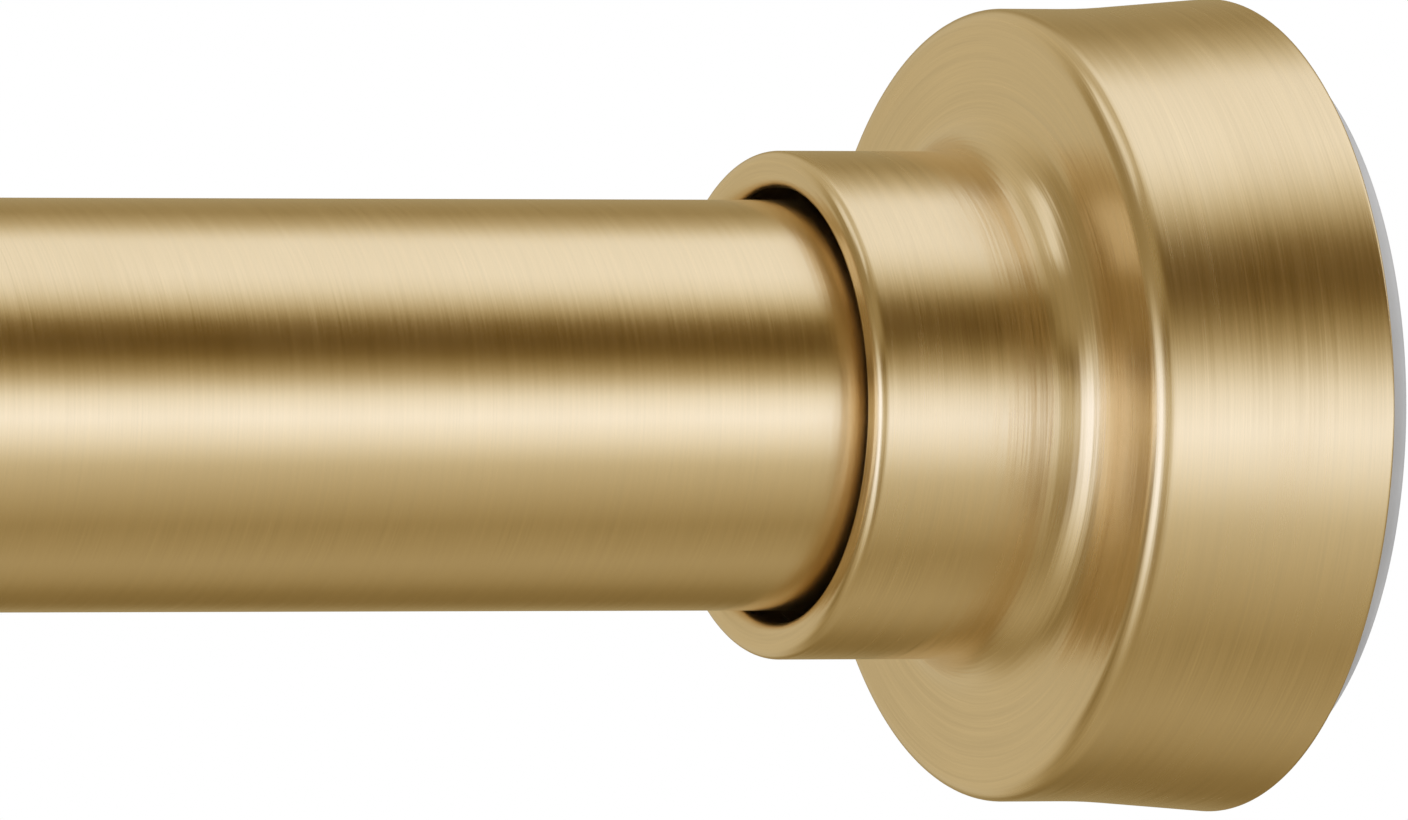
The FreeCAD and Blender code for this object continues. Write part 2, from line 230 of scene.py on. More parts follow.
class PadSettings(bpy.types.PropertyGroup):
    """Shape of the rubber foot pads."""
    radius: length("Radius", "Radius of a pad", 23.0)
    thickness: length("Thickness", "Thickness of a pad without its stem", 4.0)
    edge: length("Edge", "Rounding of the wall face's edge", 0.6)
    groove_first: length("First groove", "Radius of the innermost grip groove", 8.0)
    groove_step: length("Groove step", "Distance from one grip groove to the next", 5.0)
    groove_width: length("Groove width", "Width of a grip groove", 1.8)
    groove_depth: length("Groove depth", "Depth of a grip groove", 0.8)
    groove_edge: length("Groove edge", "Rounding of a grip groove's edges", 0.2)
    groove_count: IntProperty(name="Grooves", description="Grip grooves on the wall face", default=3, min=1)
    stem_radius: length("Stem radius", "Radius of the stem in the plug", 3.4)
    barb_radius: length("Barb radius", "Radius of the barb that holds the stem", 4.6)
    barb_length: length("Barb length", "Length of the barb", 2.6)
    barb_tip: length("Barb tip", "Radius of the barb's tip", 2.6)


class SpringSettings(bpy.types.PropertyGroup):
    """Windings of the thrust spring."""
    mean_radius: length("Mean radius", "Radius of the windings at the middle of the wire", 8.0)
    wire: length("Wire", "Diameter of the spring wire", 1.8)
    turns: IntProperty(name="Turns", description="Number of windings", default=12, min=1)
    turn_steps: IntProperty(
        name="Steps a turn", description="Mesh sections in each winding", default=72, min=12,
    )
    wire_sides: IntProperty(name="Wire sides", description="Mesh sides of the round wire", default=20, min=8)


class FinishSettings(bpy.types.PropertyGroup):
    """Colours of the finishes."""
    brass: colour("Brass", "Brass-coloured plating", (0.80, 0.655, 0.43))
    grey_rubber: colour("Grey rubber", "Foot pads", (0.50, 0.50, 0.505))
    black_rubber: colour("Black rubber", "Drag ring", (0.035, 0.035, 0.036))
    white_nylon: colour("White nylon", "Moulded plugs and sleeves", (0.80, 0.785, 0.735))
    black_nylon: colour("Black nylon", "Mouth guide and cone nut", (0.045, 0.045, 0.047))
    zinc: colour("Zinc", "Zinc plated steel", (0.66, 0.67, 0.68))
    spring_steel: colour("Spring steel", "Oiled spring wire", (0.36, 0.36, 0.37))


class StageSettings(bpy.types.PropertyGroup):
    """Camera, floor and light."""
    view_width: length("View width", "Width of the picture at the rod", 87.0)
    view_centre: length("View centre", "Distance of the picture's middle from the wall", 37.2)
    view_drop: length("View drop", "Distance of the picture's middle below the rod's axis", 0.3)
    view_azimuth: FloatProperty(
        name="View azimuth", description="Turn of the camera to the rod's left", default=math.radians(26),
        subtype="ANGLE",
    )
    lens: FloatProperty(name="Lens", description="Focal length of the camera", default=900.0, unit="CAMERA")
    floor_drop: length("Floor drop", "Distance of the floor below the rod's axis", 90.0)
    floor_colour: colour("Floor", "Plain pale floor", (0.86, 0.86, 0.86))
    ambient: FloatProperty(name="Ambient", description="Soft light from all round", default=0.7, min=0.0)
    lamp_power: FloatProperty(
        name="Lamp", description="Light of the overhead lamp", default=14.0, min=0.0, unit="POWER",
    )


class RodSettings(bpy.types.PropertyGroup):
    """All settings of the tension rod."""
    tubes: PointerProperty(type=TubeSettings)
    covers: PointerProperty(type=CoverSettings)
    pads: PointerProperty(type=PadSettings)
    spring: PointerProperty(type=SpringSettings)
    finish: PointerProperty(type=FinishSettings)
    stage: PointerProperty(type=StageSettings)


# Turned outlines

def corner_points(before, corner, after, radius):
    """Points of the arc that rounds one corner of an outline, or the bare corner."""
    if radius == 0:
        return [corner]
    back = (before - corner).normalized()
    ahead = (after - corner).normalized()
    half = back.angle(ahead) / 2
    centre = corner + (back + ahead).normalized() * (radius / math.sin(half))
    spoke = corner + back * (radius / math.tan(half)) - centre
    turn = math.pi - 2 * half
    side = -math.copysign(1, back.cross(ahead))
    steps = max(3, math.ceil(turn / ARC_STEP))
    return [centre + Matrix.Rotation(side * turn * k / steps, 2) @ spoke for k in range(steps + 1)]


def rounded_outline(corners):
    """Closed outline through (x, radius, rounding) corners.

    Holding points near the ends of each straight run keep the shading even.
    """
    places = [Vector((x, r)) for x, r, _ in corners]
    points = []
    for i, (_, _, rounding) in enumerate(corners):
        points += corner_points(places[i - 1], places[i], places[(i + 1) % len(places)], rounding)
    held = []
    for here, there in zip(points, points[1:] + points[:1]):
        held.append(here)
        run = there - here
        if run.length > 4 * HOLDING_GAP:
            held.append(here + run.normalized() * HOLDING_GAP)
            held.append(there - run.normalized() * HOLDING_GAP)
    return held


def turned_mesh(name, outline):
    """Closed mesh of an outline turned about the X axis."""
    work = bmesh.new()
    turns = [2 * math.pi * k / TURN_SEGMENTS for k in range(TURN_SEGMENTS)]
    rings = []
    for x, r in outline:
        if r < ON_AXIS:
            rings.append([work.verts.new((x, 0, 0))] * TURN_SEGMENTS)
        else:
            rings.append([work.verts.new((x, r * math.sin(a), r * math.cos(a))) for a in turns])
    for ring, following in zip(rings, rings[1:] + rings[:1]):
        for k in range(TURN_SEGMENTS):
            after = (k + 1) % TURN_SEGMENTS
            corners = dict.fromkeys((ring[k], ring[after], following[after], following[k]))
            if len(corners) > 2:
                work.faces.new(list(corners))
    return finished_mesh(name, work)


def finished_mesh(name, work):
    """Mesh data with outward faces, smooth but for its sharp corners."""
    loose = [v for v in work.verts if not v.link_faces]
    bmesh.ops.delete(work, geom=loose, context="VERTS")
    bmesh.ops.recalc_face_normals(work, faces=work.faces)
    mesh = bpy.data.meshes.new(name)
    work.to_mesh(mesh)
    work.free()
    mesh.shade_smooth()
    mesh.set_sharp_from_angle(angle=SHARP_ANGLE)
    return mesh


def place_piece(name, mesh, material, body, node):
    """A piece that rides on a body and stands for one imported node."""
    piece = bpy.data.objects.new(name, mesh)
    bpy.context.scene.collection.objects.link(piece)
    mesh.materials.append(material)
    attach(piece, body)
    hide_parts(node)
    return piece


def mirrored(corners):
    """The same outline turned round for the rod's left end."""
    return [(ROD_START - x, r, rounding) for x, r, rounding in corners]


# Shader helpers

class Nodes:
    """Short calls for building one node tree."""

    def __init__(self, tree):
        self.tree = tree

    def new(self, kind, **values):
        node = self.tree.nodes.new(kind)
        for key, value in values.items():
            setattr(node, key, value)
        return node

    def feed(self, socket, source):
        """Link a socket, or set its plain value."""
        if isinstance(source, bpy.types.NodeSocket):
            self.tree.links.new(source, socket)
        elif source is not None:
            socket.default_value = source

    def math(self, operation, a, b=None, clamp=False):
        node = self.new("ShaderNodeMath", operation=operation, use_clamp=clamp)
        for socket, source in zip(node.inputs, (a, b)):
            self.feed(socket, source)
        return node.outputs[0]

    def remap(self, value, low, high, to_low=0.0, to_high=1.0, curve="LINEAR"):
        node = self.new("ShaderNodeMapRange", interpolation_type=curve)
        for socket, source in zip(node.inputs, (value, low, high, to_low, to_high)):
            self.feed(socket, source)
        return node.outputs[0]

    def length(self, a, b):
        """Length of the long side of a right triangle."""
        squares = [self.math("MULTIPLY", side, side) for side in (a, b)]
        return self.math("SQRT", self.math("ADD", *squares))

    def both(self, first, second):
        """Share that holds where two shares hold."""
        return self.math("MULTIPLY", first, second)

    def rise(self, value, first, last):
        """Smooth step from 0 at the first value to 1 at the last, whichever is larger."""
        if first < last:
            return self.remap(value, first, last, curve="SMOOTHSTEP")
        return self.remap(value, last, first, 1.0, 0.0, curve="SMOOTHSTEP")

    def fade(self, value, first, last):
        """Smooth step from 1 at the first value to 0 at the last."""
        return self.rise(value, last, first)

    def blend(self, level, other, share):
        """Plain number between a level and another one."""
        node = self.new("ShaderNodeMix", data_type="FLOAT")
        self.feed(node.inputs["Factor"], share)
        self.feed(node.inputs["A"], level)
        self.feed(node.inputs["B"], other)
        return node.outputs["Result"]

    def noise(self, vector, scale, detail=2.0, roughness=0.5):
        node = self.new("ShaderNodeTexNoise", noise_dimensions="3D")
        self.feed(node.inputs["Vector"], vector)
        self.feed(node.inputs["Scale"], scale)
        self.feed(node.inputs["Detail"], detail)
        self.feed(node.inputs["Roughness"], roughness)
        return node.outputs["Fac"]

    def mix(self, factor, first, second):
        """Colour between two colours."""
        node = self.new("ShaderNodeMix", data_type="RGBA")
        self.feed(node.inputs["Factor"], factor)
        self.feed(node.inputs["A"], first)
        self.feed(node.inputs["B"], second)
        return node.outputs["Result"]

    def vector_math(self, operation, *sources):
        node = self.new("ShaderNodeVectorMath", operation=operation)
        sockets = [socket for socket in node.inputs if socket.enabled]
        for socket, source in zip(sockets, sources):
            self.feed(socket, source)
        return node.outputs[0]

    def vector(self, x, y, z):
        node = self.new("ShaderNodeCombineXYZ")
        for socket, source in zip(node.inputs, (x, y, z)):
            self.feed(socket, source)
        return node.outputs[0]

    def bump(self, height, strength, distance):
        node = self.new("ShaderNodeBump")
        node.inputs["Strength"].default_value = strength
        node.inputs["Distance"].default_value = distance
        self.feed(node.inputs["Height"], height)
        return node.outputs["Normal"]


def group_tree(name, inputs, outputs):
    """A new shader node group with float or vector sockets, and its end nodes."""
    tree = bpy.data.node_groups.new(name, "ShaderNodeTree")
    for label, kind, default in inputs:
        socket = tree.interface.new_socket(label, in_out="INPUT", socket_type=kind)
        if default is not None:
            socket.default_value = default
    for label, kind in outputs:
        tree.interface.new_socket(label, in_out="OUTPUT", socket_type=kind)
    nodes = Nodes(tree)
    entry = nodes.new("NodeGroupInput")
    leave = nodes.new("NodeGroupOutput")
    return tree, nodes, entry.outputs, leave.inputs


def brushed_grain():
    """Group: fine scratches that run round the rod's axis, as a part polished while it turns has them."""
    name = "Brushed Grain"
    if name in bpy.data.node_groups:
        return bpy.data.node_groups[name]
    tree, nodes, given, result = group_tree(
        name,
        [
            ("Vector", "NodeSocketVector", None),
            ("Spacing", "NodeSocketFloat", 0.0002),
            ("Turn Detail", "NodeSocketFloat", 5.0),
            ("Tilt", "NodeSocketFloat", 0.01),
            ("Furrow", "NodeSocketFloat", 0.05),
        ],
        [("Streaks", "NodeSocketFloat"), ("Cloud", "NodeSocketFloat"), ("Normal", "NodeSocketVector")],
    )
    split = nodes.new("ShaderNodeSeparateXYZ")
    nodes.feed(split.inputs[0], given["Vector"])
    x, y, z = split.outputs
    radius = nodes.length(y, z)
    from_middle = nodes.math("ABSOLUTE", nodes.math("SUBTRACT", x, ROD_MIDDLE))
    along = nodes.math("DIVIDE", nodes.math("ADD", from_middle, radius), given["Spacing"])
    safe_radius = nodes.math("MAXIMUM", radius, ON_AXIS)
    round_y = nodes.math("MULTIPLY", nodes.math("DIVIDE", y, safe_radius), given["Turn Detail"])
    round_z = nodes.math("MULTIPLY", nodes.math("DIVIDE", z, safe_radius), given["Turn Detail"])
    fine = nodes.noise(nodes.vector(along, round_y, round_z), 1.0, detail=3.0, roughness=0.65)
    coarse_along = nodes.math("MULTIPLY", along, COARSE_SPREAD)
    coarse = nodes.noise(nodes.vector(coarse_along, round_y, round_z), 1.0)
    fine_part = nodes.math("MULTIPLY", fine, FINE_SHARE)
    coarse_part = nodes.math("MULTIPLY", coarse, COARSE_SHARE)
    streaks = nodes.remap(nodes.math("ADD", fine_part, coarse_part), *STREAK_RANGE)
    nodes.feed(result["Streaks"], streaks)
    cloud = nodes.noise(given["Vector"], CLOUD_SCALE, detail=3.0, roughness=0.55)
    nodes.feed(result["Cloud"], nodes.remap(cloud, *CLOUD_RANGE))
    surface = nodes.new("ShaderNodeNewGeometry").outputs
    place = nodes.new("ShaderNodeSeparateXYZ")
    nodes.feed(place.inputs[0], surface["Position"])
    sideways = nodes.vector(0.0, nodes.math("MULTIPLY", place.outputs["Z"], -1.0), place.outputs["Y"])
    turned = nodes.vector_math("NORMALIZE", sideways)
    lengthwise = nodes.vector_math("CROSS_PRODUCT", surface["Normal"], turned)
    lean = nodes.math("MULTIPLY", nodes.math("SUBTRACT", streaks, 0.5), given["Tilt"])
    furrow = nodes.math("MULTIPLY", nodes.math("SUBTRACT", fine, 0.5), given["Furrow"])
    tilted = nodes.vector_math("ADD", surface["Normal"], nodes.vector_math("SCALE", turned, lean))
    tilted = nodes.vector_math("ADD", tilted, nodes.vector_math("SCALE", lengthwise, furrow))
    nodes.feed(result["Normal"], nodes.vector_math("NORMALIZE", tilted))
    return tree


def moulded_surface():
    """Group: the fine eroded texture and slight mottling of a moulded piece."""
    name = "Moulded Surface"
    if name in bpy.data.node_groups:
        return bpy.data.node_groups[name]
    tree, nodes, given, result = group_tree(
        name,
        [("Vector", "NodeSocketVector", None), ("Grain Scale", "NodeSocketFloat", 4000.0)],
        [("Grain", "NodeSocketFloat"), ("Mottle", "NodeSocketFloat")],
    )
    nodes.feed(result["Grain"], nodes.noise(given["Vector"], given["Grain Scale"], roughness=0.6))
    mottle = nodes.noise(given["Vector"], MOTTLE_SCALE, detail=3.0)
    nodes.feed(result["Mottle"], nodes.remap(mottle, *MOTTLE_RANGE))
    return tree


def placed_group(nodes, tree, **values):
    """A node group placed in a material, fed by object coordinates."""
    node = nodes.new("ShaderNodeGroup", node_tree=tree)
    coordinates = nodes.new("ShaderNodeTexCoord")
    nodes.feed(node.inputs["Vector"], coordinates.outputs["Object"])
    for label, value in values.items():
        node.inputs[label.replace("_", " ")].default_value = value
    return node.outputs


def new_material(name):
    """An empty material with a Principled shader, and short calls for its tree."""
    material = bpy.data.materials.new(name)
    material.use_nodes = True
    nodes = Nodes(material.node_tree)
    shader = material.node_tree.nodes["Principled BSDF"]
    return material, nodes, shader


def brushed_metal(name, tint, roughness, spacing, turn_detail, contrast, tilt, furrow, anisotropy):
    """Metal with scratches round the axis: they change its colour a little, its gloss and its surface."""
    if name in bpy.data.materials:
        return bpy.data.materials[name]
    material, nodes, shader = new_material(name)
    grain = placed_group(
        nodes, brushed_grain(), Spacing=spacing, Turn_Detail=turn_detail, Tilt=tilt, Furrow=furrow,
    )
    plain = (*tint, 1.0)
    dull = (*(c * (1 - contrast) for c in tint), 1.0)
    bright = (*(min(1.0, c * (1 + contrast * BRIGHT_STREAK)) for c in tint), 1.0)
    streaked = nodes.mix(grain["Streaks"], dull, bright)
    cloud_share = nodes.math("MULTIPLY", grain["Cloud"], CLOUD_SHARE)
    nodes.feed(shader.inputs["Base Color"], nodes.mix(cloud_share, streaked, plain))
    smoothest = roughness * (1 - STREAK_GLOSS)
    roughest = roughness * (1 + STREAK_GLOSS)
    rough = nodes.remap(grain["Streaks"], 0.0, 1.0, smoothest, roughest)
    cloud_rough = nodes.remap(grain["Cloud"], 0.0, 1.0, -CLOUD_GLOSS, CLOUD_GLOSS)
    nodes.feed(shader.inputs["Roughness"], nodes.math("ADD", rough, cloud_rough))
    nodes.feed(shader.inputs["Normal"], grain["Normal"])
    tangent = nodes.new("ShaderNodeTangent", direction_type="RADIAL", axis="X")
    nodes.feed(shader.inputs["Tangent"], tangent.outputs[0])
    shader.inputs["Metallic"].default_value = 1.0
    shader.inputs["Anisotropic"].default_value = anisotropy
    shader.inputs["Anisotropic Rotation"].default_value = SHEEN_TURN
    return material


def moulded(name, tint, roughness, grain_scale, grain_depth, specular):
    """Moulded rubber or nylon: fine texture, slight mottling and a soft sheen."""
    if name in bpy.data.materials:
        return bpy.data.materials[name]
    material, nodes, shader = new_material(name)
    surface = placed_group(nodes, moulded_surface(), Grain_Scale=grain_scale)
    plain = (*tint, 1.0)
    worn = (*(c * MOTTLE_SHADE for c in tint), 1.0)
    nodes.feed(shader.inputs["Base Color"], nodes.mix(surface["Mottle"], worn, plain))
    rough = nodes.remap(surface["Mottle"], 0.0, 1.0, roughness + MOTTLE_GLOSS, roughness - MOTTLE_GLOSS)
    nodes.feed(shader.inputs["Roughness"], rough)
    nodes.feed(shader.inputs["Normal"], nodes.bump(surface["Grain"], GRAIN_STRENGTH, grain_depth))
    shader.inputs["Specular IOR Level"].default_value = specular
    return material


def tube_brass(finish):
    return brushed_metal(
        "Tube Brass", finish.brass, roughness=0.21, spacing=0.11 * MM, turn_detail=1.6,
        contrast=0.048, tilt=0.007, furrow=0.2, anisotropy=0.7,
    )


def cover_brass(finish):
    return brushed_metal(
        "Cover Brass", finish.brass, roughness=0.24, spacing=0.13 * MM, turn_detail=1.6,
        contrast=0.082, tilt=0.02, furrow=0.28, anisotropy=0.7,
    )


def zinc_steel(finish):
    return brushed_metal(
        "Zinc Steel", finish.zinc, roughness=0.34, spacing=0.35 * MM, turn_detail=3.0,
        contrast=0.10, tilt=0.03, furrow=0.15, anisotropy=0.4,
    )


def spring_steel(finish):
    return brushed_metal(
        "Spring Steel", finish.spring_steel, roughness=0.32, spacing=0.5 * MM, turn_detail=12.0,
        contrast=0.14, tilt=0.03, furrow=0.10, anisotropy=0.2,
    )


def grey_rubber(finish):
    return moulded(
        "Grey Rubber", finish.grey_rubber, roughness=0.62,
        grain_scale=5200.0, grain_depth=0.02 * MM, specular=0.35,
    )


def black_rubber(finish):
    return moulded(
        "Black Rubber", finish.black_rubber, roughness=0.45,
        grain_scale=5200.0, grain_depth=0.01 * MM, specular=0.4,
    )


def white_nylon(finish):
    return moulded(
        "White Nylon", finish.white_nylon, roughness=0.42,
        grain_scale=2600.0, grain_depth=0.015 * MM, specular=0.5,
    )


def black_nylon(finish):
    return moulded(
        "Black Nylon", finish.black_nylon, roughness=0.40,
        grain_scale=2600.0, grain_depth=0.015 * MM, specular=0.5,
    )


def finish_nodes(names, material):
    """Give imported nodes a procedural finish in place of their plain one."""
    for name in names:
        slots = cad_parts[name].data.materials
        slots.clear()
        slots.append(material)


# Operators, one for each piece or group of like pieces

class ROD_OT_tubes(bpy.types.Operator):
    """Turn the outer and the inner tube with deburred ends"""
    bl_idname = "tension_rod.tubes"
    bl_label = "Tubes"

    def execute(self, context):
        sizes = context.scene.tension_rod.tubes
        material = tube_brass(context.scene.tension_rod.finish)
        self.turn("outer_tube", "outer", sizes.outer_radius, sizes.outer_wall, sizes.cut_edge, material)
        self.turn("inner_tube", "inner", sizes.inner_radius, sizes.inner_wall, sizes.cut_edge, material)
        return {"FINISHED"}

    @staticmethod
    def turn(node, body, radius, wall, edge, material):
        low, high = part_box(node)
        outline = rounded_outline([
            (low.x, radius - wall, edge),
            (low.x, radius, edge),
            (high.x, radius, edge),
            (high.x, radius - wall, edge),
        ])
        place_piece(f"{node}_turned", turned_mesh(node, outline), material, body, node)


class ROD_OT_mouth_guide(bpy.types.Operator):
    """Turn the guide that lines the outer tube's mouth"""
    bl_idname = "tension_rod.mouth_guide"
    bl_label = "Mouth Guide"

    def execute(self, context):
        sizes = context.scene.tension_rod.tubes
        low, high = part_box("mouth_guide")
        seat = low.x + sizes.guide_lip
        edge = sizes.cut_edge
        outline = rounded_outline([
            (low.x, sizes.guide_bore, sizes.guide_lip_edge),
            (high.x, sizes.guide_bore, edge),
            (high.x, sizes.guide_outside, edge),
            (seat, sizes.guide_outside, 0),
            (seat, sizes.outer_radius, edge),
            (low.x, sizes.outer_radius, sizes.guide_lip_edge),
        ])
        material = black_nylon(context.scene.tension_rod.finish)
        mesh = turned_mesh("mouth_guide", outline)
        place_piece("mouth_guide_turned", mesh, material, "outer", "mouth_guide")
        return {"FINISHED"}


class ROD_OT_end_covers(bpy.types.Operator):
    """Turn the drawn shells that hide the feet: lip, collar, face and flared skirt"""
    bl_idname = "tension_rod.end_covers"
    bl_label = "End Covers"

    def execute(self, context):
        settings = context.scene.tension_rod
        tubes = settings.tubes
        material = cover_brass(settings.finish)
        right = self.corners(settings.covers, tubes.outer_radius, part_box("right_end_cover")[1].x)
        left_rim = ROD_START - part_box("left_end_cover")[0].x
        left = mirrored(self.corners(settings.covers, tubes.inner_radius, left_rim))
        for side, corners in (("right", right), ("left", left)):
            node = f"{side}_end_cover"
            mesh = turned_mesh(node, rounded_outline(corners))
            place_piece(f"{node}_drawn", mesh, material, f"{side}_cover", node)
        return {"FINISHED"}

    @staticmethod
    def corners(sizes, tube_radius, rim_x):
        wall = sizes.wall
        bore = tube_radius + sizes.bore_clearance
        collar = sizes.collar_radius
        face = sizes.face_radius
        rim = face + sizes.skirt_flare
        flare_x = rim_x - sizes.flare_length
        lip_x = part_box("right_end_cover")[0].x
        face_x = rim_x - sizes.skirt_depth
        outside = [
            (rim_x, rim, sizes.rim_edge),
            (flare_x, face, sizes.flare_blend),
            (face_x, face, sizes.face_edge),
            (face_x, collar, sizes.neck_fillet),
            (lip_x, collar, sizes.lip_bend),
            (lip_x, bore, sizes.lip_edge),
        ]
        inside = [
            (lip_x + wall, bore, 0),
            (lip_x + wall, collar - wall, sizes.inside_bend),
            (face_x + wall, collar - wall, sizes.neck_fillet + wall),
            (face_x + wall, face - wall, sizes.inside_bend),
            (flare_x, face - wall, 0),
            (rim_x, rim - wall, sizes.rim_edge),
        ]
        return outside + inside


class ROD_OT_foot_pads(bpy.types.Operator):
    """Turn the rubber pads with their grip grooves and barbed stems"""
    bl_idname = "tension_rod.foot_pads"
    bl_label = "Foot Pads"

    def execute(self, context):
        settings = context.scene.tension_rod
        material = grey_rubber(settings.finish)
        right = self.corners(settings.pads)
        for side, body, corners in (("right", "outer", right), ("left", "inner", mirrored(right))):
            node = f"{side}_foot_pad"
            mesh = turned_mesh(node, rounded_outline(corners))
            place_piece(f"{node}_moulded", mesh, material, body, node)
        return {"FINISHED"}

    @staticmethod
    def corners(sizes):
        low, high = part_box("right_foot_pad")
        wall_face = high.x
        bed = wall_face - sizes.groove_depth
        back = wall_face - sizes.thickness
        barb_x = low.x + sizes.barb_length
        points = [(wall_face, 0.0, 0)]
        for k in range(sizes.groove_count):
            middle = sizes.groove_first + sizes.groove_step * k
            near = middle - sizes.groove_width / 2
            far = middle + sizes.groove_width / 2
            points += [
                (wall_face, near, sizes.groove_edge),
                (bed, near, sizes.groove_edge),
                (bed, far, sizes.groove_edge),
                (wall_face, far, sizes.groove_edge),
            ]
        points += [
            (wall_face, sizes.radius, sizes.edge),
            (back, sizes.radius, sizes.groove_edge),
            (back, sizes.stem_radius, 0),
            (barb_x, sizes.stem_radius, 0),
            (barb_x, sizes.barb_radius, 0),
            (low.x, sizes.barb_tip, 0),
            (low.x, 0.0, 0),
        ]
        return points


class ROD_OT_end_plugs(bpy.types.Operator):
    """Finish the moulded plugs that carry pads and covers"""
    bl_idname = "tension_rod.end_plugs"
    bl_label = "End Plugs"

    def execute(self, context):
        finish_nodes(("right_end_plug", "left_end_plug"), white_nylon(context.scene.tension_rod.finish))
        return {"FINISHED"}


class ROD_OT_twist_lock(bpy.types.Operator):
    """Finish the pieces of the twist lock and the spring's stop, inside the tubes"""
    bl_idname = "tension_rod.twist_lock"
    bl_label = "Twist Lock"

    def execute(self, context):
        finish = context.scene.tension_rod.finish
        finish_nodes(("lock_sleeve", "drive_bush", "spring_stop"), white_nylon(finish))
        finish_nodes(("cone_nut",), black_nylon(finish))
        finish_nodes(("spindle", "thrust_collar", "collar_pin", "stop_washer"), zinc_steel(finish))
        finish_nodes(("retaining_ring",), spring_steel(finish))
        finish_nodes(("drag_ring",), black_rubber(finish))
        return {"FINISHED"}


class ROD_OT_thrust_spring(bpy.types.Operator):
    """Wind the thrust spring, with ground ends"""
    bl_idname = "tension_rod.thrust_spring"
    bl_label = "Thrust Spring"

    def execute(self, context):
        settings = context.scene.tension_rod
        low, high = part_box("thrust_spring")
        mesh = self.wound(settings.spring, low.x, high.x)
        material = spring_steel(settings.finish)
        spring = place_piece("thrust_spring_wound", mesh, material, "inner", "thrust_spring")
        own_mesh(spring)
        return {"FINISHED"}

    @staticmethod
    def wound(sizes, start, end):
        """Helix of round wire, cut flat at both ends."""
        pitch = (end - start) / sizes.turns
        run_out = sizes.wire
        sections = math.ceil((end - start + 2 * run_out) / pitch * sizes.turn_steps)
        work = bmesh.new()
        rings = []
        for k in range(sections + 1):
            turn = 2 * math.pi * k / sizes.turn_steps
            outward = Vector((0, math.sin(turn), -math.cos(turn)))
            around = Vector((0, math.cos(turn), math.sin(turn)))
            along = (around * 2 * math.pi * sizes.mean_radius + Vector((pitch, 0, 0))).normalized()
            across = along.cross(outward)
            x = start - run_out + pitch * k / sizes.turn_steps
            middle = outward * sizes.mean_radius + Vector((x, 0, 0))
            ring = []
            for side in range(sizes.wire_sides):
                angle = 2 * math.pi * side / sizes.wire_sides
                spoke = outward * math.cos(angle) + across * math.sin(angle)
                ring.append(work.verts.new(middle + spoke * sizes.wire / 2))
            rings.append(ring)
        for ring, following in zip(rings, rings[1:]):
            for side in range(sizes.wire_sides):
                after = (side + 1) % sizes.wire_sides
                work.faces.new((ring[side], ring[after], following[after], following[side]))
        for plane, outside in ((start, -1), (end, 1)):
            cut = bmesh.ops.bisect_plane(
                work, geom=work.verts[:] + work.edges[:] + work.faces[:],
                plane_co=(plane, 0, 0), plane_no=(outside, 0, 0), clear_outer=True,
            )
            edges = [item for item in cut["geom_cut"] if isinstance(item, bmesh.types.BMEdge)]
            bmesh.ops.contextual_create(work, geom=edges)
        return finished_mesh("thrust_spring", work)


